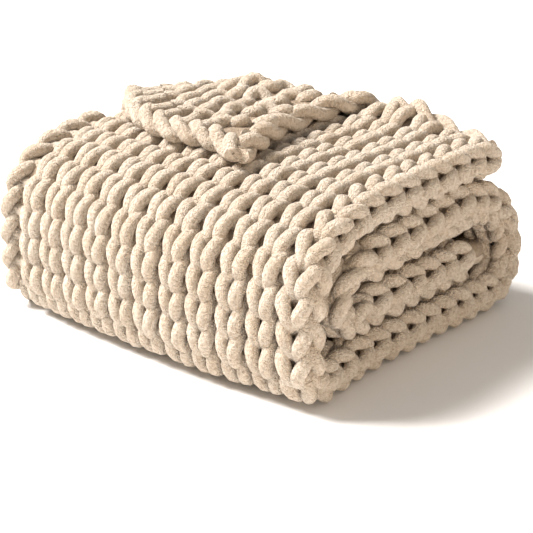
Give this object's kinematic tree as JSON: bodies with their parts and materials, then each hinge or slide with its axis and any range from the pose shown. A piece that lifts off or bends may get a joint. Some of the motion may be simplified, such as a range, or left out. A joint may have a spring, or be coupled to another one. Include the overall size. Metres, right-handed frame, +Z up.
{
  "type": "chenille blanket",
  "caption": "Hand knitted blanket of thick soft yarn, folded into a block in plies one on another, with its top corner turned over.",
  "frame": {"origin": "middle of the block's underside, on the surface that it rests on", "axes": "+X along the front fold to the right-hand end, +Y from the front fold to the back, +Z up"},
  "size_m": [0.4874, 0.4494, 0.2585],
  "materials": {
    "chenille_yarn": "thick velvety chenille yarn in warm cream, matt with a soft pile, knitted in plain stitches"
  },
  "bodies": {
    "root": {"blanket": "chenille_yarn"}
  },
  "joints": []
}
